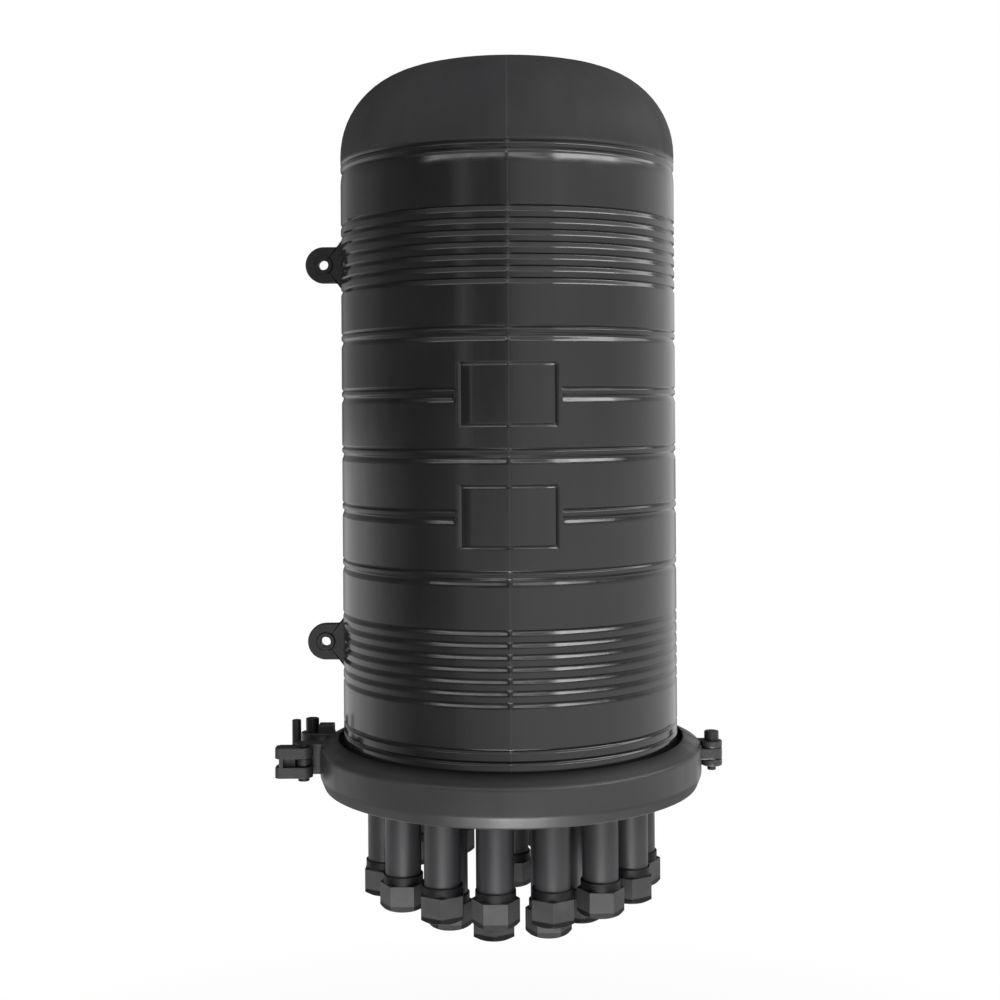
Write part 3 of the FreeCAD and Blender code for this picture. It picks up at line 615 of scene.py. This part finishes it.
def all_materials():
    """Every finish of the object, by its short name."""
    return {
        "dome": dome_plastic("dome_plastic"),
        "hoop": hoop_plastic("hoop_plastic"),
        "latch": moulded_plastic(
            "latch_plastic", (0.014, 0.014, 0.015), (0.022, 0.022, 0.023),
            roughness=0.42, uneven=0.08, grain_depth=coarse_grain_depth,
        ),
        "base": moulded_plastic(
            "base_plastic", (0.022, 0.022, 0.024), (0.032, 0.032, 0.034),
            roughness=0.38, uneven=0.08, grain_depth=fine_grain_depth, mark_depth=base_mark_depth,
        ),
        "drop_nut": nut_plastic("nut_plastic", "drop_port_nuts"),
        "inlet_nut": nut_plastic("inlet_nut_plastic", "inlet_port_nuts"),
        "centre_nut": nut_plastic("centre_nut_plastic", "centre_port_nut"),
        "pin": moulded_plastic(
            "pin_black", (0.008, 0.008, 0.008), (0.014, 0.014, 0.014),
            roughness=0.34, uneven=0.10, grain_depth=fine_grain_depth,
        ),
        "rubber": moulded_plastic(
            "seal_rubber", (0.014, 0.014, 0.014), (0.022, 0.022, 0.022),
            roughness=0.75, uneven=0.10, grain_depth=coarse_grain_depth,
        ),
        "tray": moulded_plastic(
            "tray_plastic", (0.70, 0.71, 0.70), (0.80, 0.81, 0.80),
            roughness=0.45, uneven=0.08, grain_depth=fine_grain_depth,
        ),
        "splitter": moulded_plastic(
            "splitter_plastic", (0.10, 0.11, 0.13), (0.14, 0.15, 0.17),
            roughness=0.45, uneven=0.08, grain_depth=fine_grain_depth,
        ),
        "frame": sheet_metal(
            "frame_aluminium", (0.66, 0.67, 0.68), (0.76, 0.77, 0.78),
            roughness=0.32, uneven=0.08, stretch=brush_stretch,
        ),
        "steel": sheet_metal(
            "screw_steel", (0.52, 0.52, 0.52), (0.64, 0.64, 0.64),
            roughness=0.28, uneven=0.08, stretch=no_stretch,
        ),
        "clear": clear_sheet("clear_plastic"),
    }


def finish_nodes(materials):
    """Every solid that no piece replaces gets its finish."""
    for finish, names in node_finishes.items():
        for name in names:
            slots = nodes[name].data.materials
            slots.clear()
            slots.append(materials[finish])


def soften_edges():
    """Some solids outside get rounded edges, after their flat faces are joined up."""
    for name, width in soft_edges.items():
        modifiers = nodes[name].modifiers
        weld = modifiers.new("weld", "WELD")
        weld.merge_threshold = weld_gap
        flat = modifiers.new("flat", "DECIMATE")
        flat.decimate_type = "DISSOLVE"
        flat.angle_limit = math.radians(flat_deg)
        soft = modifiers.new("soft", "BEVEL")
        soft.width = width
        soft.segments = soft_segments
        soft.limit_method = "ANGLE"
        soft.angle_limit = math.radians(soft_deg)
        even = modifiers.new("even", "WEIGHTED_NORMAL")
        even.weight = even_weight


def dip(offset, reach):
    """1 in the middle of a groove, falling smoothly to 0 at its lips."""
    if abs(offset) >= reach:
        return 0.0
    return math.cos(math.pi * offset / reach / 2) ** 2


def rise(value, low, high):
    """0 below a range and 1 above it, smooth between."""
    share = min(max((value - low) / (high - low), 0.0), 1.0)
    return share * share * (3 - 2 * share)


def raised(grooves, middle):
    """Grooves of a kind, moved up to a height."""
    return [(middle + offset, above, below, depth) for offset, above, below, depth in grooves]


def round_grooves():
    """Grooves that run all the way round."""
    grooves = raised(ridge_grooves, ridge_z)
    for middle in (band_a_z, band_b_z, band_c_z):
        grooves += raised(band_grooves, middle)
    grooves += raised(top_band_grooves, band_d_z)
    for low in (lower_group_z, upper_group_z):
        for index in range(group_ribs + 1):
            grooves += raised([group_groove], low + index * group_pitch)
    return grooves


def label_grooves():
    """Grooves that stop short of a label frame."""
    return [groove for middle in label_half_heights for groove in raised(band_grooves, middle)]


def sunk_depth(height, grooves):
    """How deep the deepest of some grooves lies at a height."""
    deepest = 0.0
    for middle, above, below, depth in grooves:
        reach = above if height > middle else below
        deepest = max(deepest, depth * dip(height - middle, reach))
    return deepest


def seam_offset(angle):
    """Distance round the wall to the nearer of the two seams."""
    turn = math.remainder(angle, math.pi)
    return abs(turn) * dome_radius


def seam_ridge(angle):
    """How far the seam stands proud of the wall at an angle."""
    return seam_proud * dip(seam_offset(angle), seam_reach)


def label_sunk(x, height):
    """Depth of the label frames' grooves at a distance from the middle of the front."""
    deepest = 0.0
    for middle, half_height in label_half_heights.items():
        upright = x - label_half_width
        level = abs(height - middle) - half_height
        share = rise(level - upright, -label_corner, label_corner)
        depth = label_depth + share * (label_level_depth - label_depth)
        deepest = max(deepest, depth * dip(max(upright, level), label_reach))
    return deepest


def wall_depth(angle, height, around, beside):
    """How far the wall is sunk at an angle from the front, by the grooves at that height."""
    depth = max(around, beside)
    if math.cos(angle) > 0:
        x = abs(dome_radius * math.sin(angle))
        past_label = rise(x, label_band_x, label_band_x + label_band_fade)
        depth = max(around, past_label * beside, label_sunk(x, height))
    land = rise(seam_offset(angle), seam_land, seam_land + seam_fade)
    return depth * (seam_share + (1 - seam_share) * land) - seam_ridge(angle)


def edge_angles():
    """Angles of the label edges and the band ends at the front, and of the two seams."""
    places = [label_half_width + share * label_reach for share in label_lines]
    places += [label_band_x + share * label_band_fade for share in band_end_lines]
    angles = [side * math.asin(place / dome_radius) for place in places for side in (-1, 1)]
    seam_places = [0.0, seam_reach / 2, seam_reach, seam_land]
    seam_places += [seam_land + seam_fade / 2, seam_land + seam_fade]
    for place in seam_places:
        turn = place / dome_radius
        angles += [turn, -turn, math.pi - turn, turn - math.pi]
    return angles


def dome_angles():
    """Angles of the upright mesh lines: even all round, closer at label edges, band ends and seams."""
    fixed = edge_angles()
    clear = math.pi / turn_steps / 2
    even = [(step + 0.5) * 2 * math.pi / turn_steps - math.pi for step in range(turn_steps)]
    even = [angle for angle in even if min(abs(angle - other) for other in fixed) > clear]
    half_turn = round(math.pi, angle_digits)
    return sorted(set(round(angle, angle_digits) for angle in fixed + even) - {half_turn})


def wall_heights():
    """Heights of the level mesh lines on the wall."""
    bands = [(middle, above, below) for middle, above, below, _ in round_grooves() + label_grooves()]
    for middle, half_height in label_half_heights.items():
        bands += [(middle + side * half_height, label_reach, label_reach) for side in (-1, 1)]
    heights = [seat_z + flange_root + foot_clear, cap_z]
    for middle, above, below in bands:
        heights += [middle + share * (above if share > 0 else below) for share in groove_lines]
        heights += [middle + above + flat_margin, middle - below - flat_margin]
    kept = []
    for height in sorted(heights):
        if not kept or height - kept[-1] > least_step:
            kept.append(height)
    return kept


def cap_arc(offset, steps):
    """Profile of the cap between the wall and the axis, moved in by an offset."""
    reach = dome_radius - shoulder_radius
    height = shoulder_radius + crown_rise
    crown_radius = (reach ** 2 + height ** 2 - shoulder_radius ** 2) / (2 * crown_rise)
    crown_z = top_z - crown_radius
    meet = math.atan2(cap_z - crown_z, reach)
    points = []
    for step in range(1, steps + 1):
        angle = meet * step / steps
        radius = shoulder_radius - offset
        points.append((reach + radius * math.cos(angle), cap_z + radius * math.sin(angle)))
    for step in range(1, steps):
        angle = meet + (math.pi / 2 - meet) * step / steps
        radius = crown_radius - offset
        points.append((radius * math.cos(angle), crown_z + radius * math.sin(angle)))
    return points


def ring_points(angles, height, radii):
    """Ring of points at a height, with a radius for each angle from the front."""
    return [
        (radius * math.sin(angle), -radius * math.cos(angle), height)
        for angle, radius in zip(angles, radii)
    ]


def round_rings(angles, profile):
    """Circular rings, one for each radius and height of a profile."""
    return [ring_points(angles, height, [radius] * len(angles)) for radius, height in profile]


def outer_rings(angles):
    """Rings of the dome's outside, from the seat up to near the axis."""
    around = round_grooves()
    beside = label_grooves()
    rings = round_rings(angles, [
        (flange_radius - foot_round, seat_z),
        (flange_radius, seat_z + foot_round),
        (flange_radius, seat_z + flange_rim - foot_round),
        (flange_radius - foot_round, seat_z + flange_rim),
        (dome_radius + foot_round, seat_z + flange_root - foot_round / 2),
    ])
    for height in wall_heights():
        sunk = (sunk_depth(height, around), sunk_depth(height, beside))
        radii = [dome_radius - wall_depth(angle, height, *sunk) for angle in angles]
        rings.append(ring_points(angles, height, radii))
    for radius, height in cap_arc(0.0, cap_steps):
        share = radius / dome_radius
        radii = [radius + share * seam_ridge(angle) for angle in angles]
        rings.append(ring_points(angles, height, radii))
    return rings


def inner_rings(angles):
    """Rings of the dome's inside, from near the axis down to the seat."""
    inner_radius = dome_radius - dome_wall
    profile = cap_arc(dome_wall, inner_cap_steps)[::-1]
    return round_rings(angles, profile + [(inner_radius, cap_z), (inner_radius, seat_z)])


def stitched(rings, closed):
    """Faces between rings of equal length, and from the last back to the first if closed."""
    count = len(rings[0])
    pairs = [(index, index + 1) for index in range(len(rings) - 1)]
    if closed:
        pairs.append((len(rings) - 1, 0))
    return [
        (low * count + side, low * count + (side + 1) % count,
         high * count + (side + 1) % count, high * count + side)
        for low, high in pairs
        for side in range(count)
    ]


def dome_shell():
    """Vertices and faces of the dome without its lugs."""
    angles = dome_angles()
    outside = outer_rings(angles)
    rings = outside + inner_rings(angles)
    last = len(outside) - 1
    count = len(angles)
    vertices = [point for ring in rings for point in ring]
    faces = [face for index, face in enumerate(stitched(rings, True)) if index // count != last]
    for ring, height, turn in ((last, top_z, 1), (last + 1, top_z - dome_wall, -1)):
        pole = len(vertices)
        vertices.append((0.0, 0.0, height))
        for side in range(count):
            corner = ring * count + side
            other = ring * count + (side + 1) % count
            faces.append((corner, other, pole)[::turn])
    return vertices, faces


def lug_outline(height):
    """Outline of a lug in X and Z: a round ear that flares into the wall."""
    points = []
    root_x = lug_sink - dome_radius
    foot_x = -dome_radius - lug_fillet
    edge = lug_radius + lug_fillet
    for side in (-1, 1):
        half = [(root_x, side * edge / 2), (root_x, side * edge)]
        for step in range(lug_fillet_steps + 1):
            angle = math.pi / 2 * step / lug_fillet_steps
            half.append((
                foot_x + lug_fillet * math.cos(angle),
                side * (edge - lug_fillet * math.sin(angle)),
            ))
        for step in range(lug_ear_steps):
            angle = math.pi / 2 * (1 + step / lug_ear_steps)
            half.append((lug_x + lug_radius * math.cos(angle), side * lug_radius * math.sin(angle)))
        points += half if side < 0 else [(lug_x - lug_radius, 0.0)] + half[::-1]
    return [(x, height + z) for x, z in points + [(root_x, 0.0)]]


def drawn_in(outline, middle, amount):
    """Outline moved a little towards its middle."""
    moved = []
    for x, z in outline:
        reach = math.hypot(x - middle[0], z - middle[1])
        share = 1 - amount / reach
        moved.append((middle[0] + (x - middle[0]) * share, middle[1] + (z - middle[1]) * share))
    return moved


def hanging_lug(height):
    """Vertices and faces of a lug: rounded edges, a hole and a raised rim on both sides."""
    outline = lug_outline(height)
    turns = [math.atan2(z - height, x - lug_x) for x, z in outline]

    def circle(radius):
        return [(lug_x + radius * math.cos(turn), height + radius * math.sin(turn)) for turn in turns]

    rim = lug_half + lug_rim_proud
    half = [
        (circle(lug_hole_radius), rim - lug_rim_round),
        (circle(lug_hole_radius + lug_rim_round), rim),
        (circle(lug_rim_radius - lug_rim_round), rim),
        (circle(lug_rim_radius), rim - lug_rim_round),
        (circle(lug_rim_radius + lug_rim_round), lug_half),
        (drawn_in(outline, (lug_x, height), lug_round), lug_half),
        (outline, lug_half - lug_round),
    ]
    loops = [(loop, -depth) for loop, depth in half] + half[::-1]
    rings = [[(x, depth, z) for x, z in loop] for loop, depth in loops]
    return [point for ring in rings for point in ring], stitched(rings, True)


def inset(outline, amount):
    """Closed outline moved inwards; it runs anticlockwise."""
    count = len(outline)
    moved = []
    for index, here in enumerate(outline):
        normals = []
        for start, end in ((outline[index - 1], here), (here, outline[(index + 1) % count])):
            length = math.dist(start, end)
            normals.append(((end[1] - start[1]) / length, (start[0] - end[0]) / length))
        before, after = normals
        share = amount / (1 + before[0] * after[0] + before[1] * after[1])
        moved.append(tuple(here[axis] - share * (before[axis] + after[axis]) for axis in (0, 1)))
    return moved


def in_metres(rings):
    """Rings in millimetres above the seat, as points of the scene."""
    return [[(x * MM, y * MM, seat_z + z * MM) for x, y, z in ring] for ring in rings]


def capped(rings):
    """Vertices and faces of a solid whose first and last rings are closed by a face."""
    count = len(rings[0])
    last = (len(rings) - 1) * count
    faces = stitched(rings, False)
    faces += [tuple(range(count)), tuple(last + side for side in range(count))]
    return [point for ring in rings for point in ring], faces


def soft_prism(outline, low, high):
    """Upright solid on an outline in X and Y, with rounded upper and lower edges."""
    shallow = edge_round * (1 - math.sqrt(0.5))
    half = [
        (edge_round + edge_margin, 0.0),
        (edge_round, 0.0),
        (shallow, shallow),
        (0.0, edge_round),
        (0.0, edge_round + edge_margin),
    ]
    loops = [(inset(outline, amount), low + lift) for amount, lift in half]
    loops += [(inset(outline, amount), high - lift) for amount, lift in half[::-1]]
    return capped(in_metres([[(x, y, height) for x, y in loop] for loop, height in loops]))


def round_outline(x, y, radius, start=0, end=360, steps=40):
    """Points on an arc, anticlockwise, without its end point."""
    turns = [math.radians(start + (end - start) * step / steps) for step in range(steps)]
    return [(x + radius * math.cos(turn), y + radius * math.sin(turn)) for turn in turns]


def box_outline(x0, x1, y0, y1):
    """Corners of a rectangle, anticlockwise."""
    return [(x0, y0), (x1, y0), (x1, y1), (x0, y1)]


def half_ring(start_deg):
    """Half of the hoop, turned anticlockwise from an angle, with rounded ends."""
    gap = math.asin(hoop_split / hoop_outside)
    run = math.asin(hoop_end_round / hoop_outside)
    ends = [(gap, hoop_end_round), (gap + run / 3, hoop_end_round / 3), (gap + run, 0.0)]
    turns = ends + [(math.pi * step / hoop_steps, 0.0) for step in range(1, hoop_steps)]
    turns += [(math.pi - turn, amount) for turn, amount in ends[::-1]]
    rings = []
    for turn, amount in turns:
        angle = math.radians(start_deg) + turn
        loop = inset(hoop_section, amount)
        rings.append([(r * math.cos(angle), r * math.sin(angle), z) for r, z in loop])
    return capped(in_metres(rings))


def knuckle(side, low, high):
    """Hinge barrel and its web, on the rear side (1) or the front side (-1) of the split."""
    sides = sorted((side * hoop_split, side * knuckle_radius))
    return [
        soft_prism(round_outline(hinge_x, 0.0, knuckle_radius), low, high),
        soft_prism(box_outline(hinge_root_x, hinge_x, *sides), low, high),
    ]


def front_half():
    """Front half of the hoop, with its hinge knuckle and the root of the keeper."""
    root = box_outline(keeper_root_x, latch_root_x, *keeper_root_sides)
    return [half_ring(180), *knuckle(-1, *front_knuckle), soft_prism(root, *keeper_heights)]


def rear_half():
    """Rear half of the hoop, with its hinge knuckles, the latch fork and the fork's gusset."""
    parts = [half_ring(0)]
    for heights in rear_knuckles:
        parts += knuckle(1, *heights)
    prong = [(latch_root_x, fork_y - fork_radius), (latch_root_x, fork_y + fork_radius)]
    prong += round_outline(latch_x, fork_y, fork_radius, 90, 270, fork_steps)
    prong.append((latch_x, fork_y - fork_radius))
    parts += [soft_prism(prong, *heights) for heights in fork_prongs]
    sides = (fork_y - gusset_half, fork_y + gusset_half)
    gusset = box_outline(latch_x + gusset_half, latch_root_x, *sides)
    return parts + [soft_prism(gusset, *gusset_heights)]


def make_piece(name, parts, finish, body="closure"):
    """One mesh object from sets of vertices and faces, with its finish."""
    vertices = []
    faces = []
    for part_vertices, part_faces in parts:
        first = len(vertices)
        vertices += part_vertices
        faces += [tuple(first + corner for corner in face) for face in part_faces]
    mesh = bpy.data.meshes.new(name)
    mesh.from_pydata(vertices, [], faces)
    shape = bmesh.new()
    shape.from_mesh(mesh)
    bmesh.ops.recalc_face_normals(shape, faces=shape.faces)
    shape.to_mesh(mesh)
    shape.free()
    mesh.shade_smooth()
    mesh.set_sharp_from_angle(angle=math.radians(sharp_deg))
    mesh.materials.append(finish)
    piece = bpy.data.objects.new(name, mesh)
    bpy.context.scene.collection.objects.link(piece)
    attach(piece, body)
    return piece


def make_dome(materials):
    """The dome with its lugs, in place of the plainer solid."""
    parts = [dome_shell()] + [hanging_lug(height) for height in lug_zs]
    dome = make_piece("dome_moulding", parts, materials["dome"])
    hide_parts("dome_cover")


def make_hoop(materials):
    """The two halves of the hoop, in place of the plainer solids."""
    for name, parts, node in (
        ("hoop_front", front_half(), "clamp_half_front"),
        ("hoop_rear", rear_half(), "clamp_half_rear"),
    ):
        half = make_piece(name, parts, materials["hoop"])
        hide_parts(node)


def make_lever_core(materials):
    """Block between the lever's prongs, behind the bolt's end."""
    outline = box_outline(*lever_core_ends, *lever_core_sides)
    core = soft_prism(outline, *lever_core_heights)
    make_piece("lever_core", [core], materials["latch"], body="cam_lever")


def make_camera():
    """Camera that takes the photo's view: level but for a slight roll, with its frame shifted."""
    camera = bpy.data.cameras.new("camera")
    camera.sensor_width = sensor_mm
    camera.lens = sensor_mm * focal_px / image_size
    camera.shift_x = (image_size / 2 - axis_px) / image_size
    camera.shift_y = (horizon_px - image_size / 2) / image_size
    holder = bpy.data.objects.new("camera", camera)
    bpy.context.scene.collection.objects.link(holder)
    turn = Matrix.Rotation(math.radians(90), 4, "X") @ Matrix.Rotation(math.radians(roll_deg), 4, "Z")
    holder.matrix_world = Matrix.Translation((0.0, -camera_distance, eye_height)) @ turn
    bpy.context.scene.camera = holder


def ray_kinds(tree):
    """1 for rays straight from the camera or through glass, and 1 for reflected rays."""
    path = tree.nodes.new("ShaderNodeLightPath").outputs
    straight = math_node(tree, "MAXIMUM", path["Is Camera Ray"], path["Is Transmission Ray"])
    return straight, path["Is Glossy Ray"]


def studio_level(tree, parts, levels):
    """Brightness of the studio in the direction of a point, by its X and Y."""
    front = math_node(tree, "MULTIPLY", parts["Y"], -1.0)
    around = math_node(tree, "ARCTAN2", parts["X"], front)
    share = spread(tree, around, 0.0, 1.0, -math.pi, math.pi)
    ramp = tree.nodes.new("ShaderNodeValToRGB")
    elements = ramp.color_ramp.elements
    for index, (degrees, level) in enumerate(levels):
        position = (degrees + 180) / 360
        if index < 2:
            element = elements[index]
            element.position = position
        else:
            element = elements.new(position)
        element.color = (level, level, level, 1.0)
    tree.links.new(share, ramp.inputs["Fac"])
    return ramp.outputs["Color"]


def make_world():
    """White to the camera and through glass, a studio in reflections, an even level for the rest."""
    world = bpy.data.worlds.new("studio")
    bpy.context.scene.world = world
    world.use_nodes = True
    tree = world.node_tree
    background = tree.nodes["Background"]
    parts = split_place(tree, tree.nodes.new("ShaderNodeTexCoord").outputs["Generated"])
    ceiling = spread(tree, parts["Z"], 1.0, ceiling_level, ceiling_start, ceiling_full)
    room = math_node(tree, "MULTIPLY", studio_level(tree, parts, room_levels), ceiling)
    above = spread(tree, parts["Z"], 0.0, 1.0, upper_start, upper_full)
    upper = math_node(tree, "MULTIPLY", studio_level(tree, parts, upper_levels), above)
    straight, reflected = ray_kinds(tree)
    level = blended(tree, reflected, ambient_level, math_node(tree, "MAXIMUM", room, upper))
    background.inputs["Color"].default_value = (1.0, 1.0, 1.0, 1.0)
    feed(background, "Strength", blended(tree, straight, level, 1.0))


def floor_mirror(tree, place, distance):
    """Brightness of the floor in reflections: bright, but for a darker ring round the object."""
    falling = spread(tree, distance, 1.0, ring_level, *ring_start)
    rising = spread(tree, distance, ring_level, 1.0, *ring_end)
    ring = math_node(tree, "MAXIMUM", falling, rising)
    return math_node(tree, "MULTIPLY", studio_level(tree, split_place(tree, place), floor_levels), ring)


def floor_paper(name):
    """Pale paper that keeps the shadow near the object and runs out into the white background."""
    material, tree, shader, place = start_material(name)
    paper = noise(tree, place, paper_size)
    feed(shader, "Base Color", tint(tree, paper, (0.84, 0.84, 0.84), (0.88, 0.88, 0.88)))
    shader.inputs["Roughness"].default_value = paper_roughness
    distance = from_axis(tree, place)
    straight, reflected = ray_kinds(tree)
    white = spread(tree, distance, shadow_share, 1.0, shadow_inside, shadow_outside)
    seen = math_node(tree, "MULTIPLY", straight, white)
    glow = tree.nodes.new("ShaderNodeEmission")
    feed(glow, "Strength", blended(tree, reflected, 1.0, floor_mirror(tree, place, distance)))
    mixed = tree.nodes.new("ShaderNodeMixShader")
    feed(mixed, "Fac", math_node(tree, "MAXIMUM", seen, reflected))
    tree.links.new(shader.outputs["BSDF"], mixed.inputs[1])
    tree.links.new(glow.outputs["Emission"], mixed.inputs[2])
    feed(tree.nodes["Material Output"], "Surface", mixed.outputs["Shader"])
    return material


def make_floor():
    """Floor of the studio, below the object, which hangs clear of it."""
    bpy.ops.mesh.primitive_plane_add(size=floor_size, location=(0.0, 0.0, cad_low.z - floor_drop))
    floor = bpy.context.object
    floor.name = "floor"
    floor.data.materials.append(floor_paper("floor_paper"))


def add_lamp(name, place, size, watts, aim=lamp_aim, spread_deg=180, mirrored=True):
    """Soft lamp of a width and height, hidden from the camera and, if not mirrored, from reflections."""
    light = bpy.data.lights.new(name, "AREA")
    light.shape = "RECTANGLE"
    light.size, light.size_y = size
    light.energy = watts
    light.spread = math.radians(spread_deg)
    holder = bpy.data.objects.new(name, light)
    bpy.context.scene.collection.objects.link(holder)
    holder.location = place
    direction = Vector(aim) - Vector(place)
    holder.rotation_euler = direction.to_track_quat("-Z", "Y").to_euler()
    holder.visible_camera = False
    holder.visible_glossy = mirrored


def make_lamps():
    """Strips for the highlights, a low lamp for the ports, and soft light from the left and above."""
    add_lamp("strip_right", (0.91, -0.66, 0.9), (1.0, 0.25), 6.0)
    add_lamp("strip_far", (1.106, 0.175, 0.9), (0.94, 0.25), 2.0)
    add_lamp("strip_front", (-0.29, -1.08, 0.9), (1.88, 0.15), 2.4)
    add_lamp("low_front", (0.08, -0.3, -0.22), (0.6, 0.2), 0.6, aim=(0.08, -0.05, 0.0), spread_deg=50)
    add_lamp("fill_left", (-1.2, -0.5, 0.5), (0.5, 1.2), 4.5, mirrored=False)
    add_lamp("top", (0.2, -0.5, 1.5), (0.8, 0.8), 2.0, mirrored=False)


materials = all_materials()
finish_nodes(materials)
soften_edges()
make_dome(materials)
make_hoop(materials)
make_lever_core(materials)
make_camera()
make_world()
make_floor()
make_lamps()
bpy.context.scene.view_settings.view_transform = "Standard"
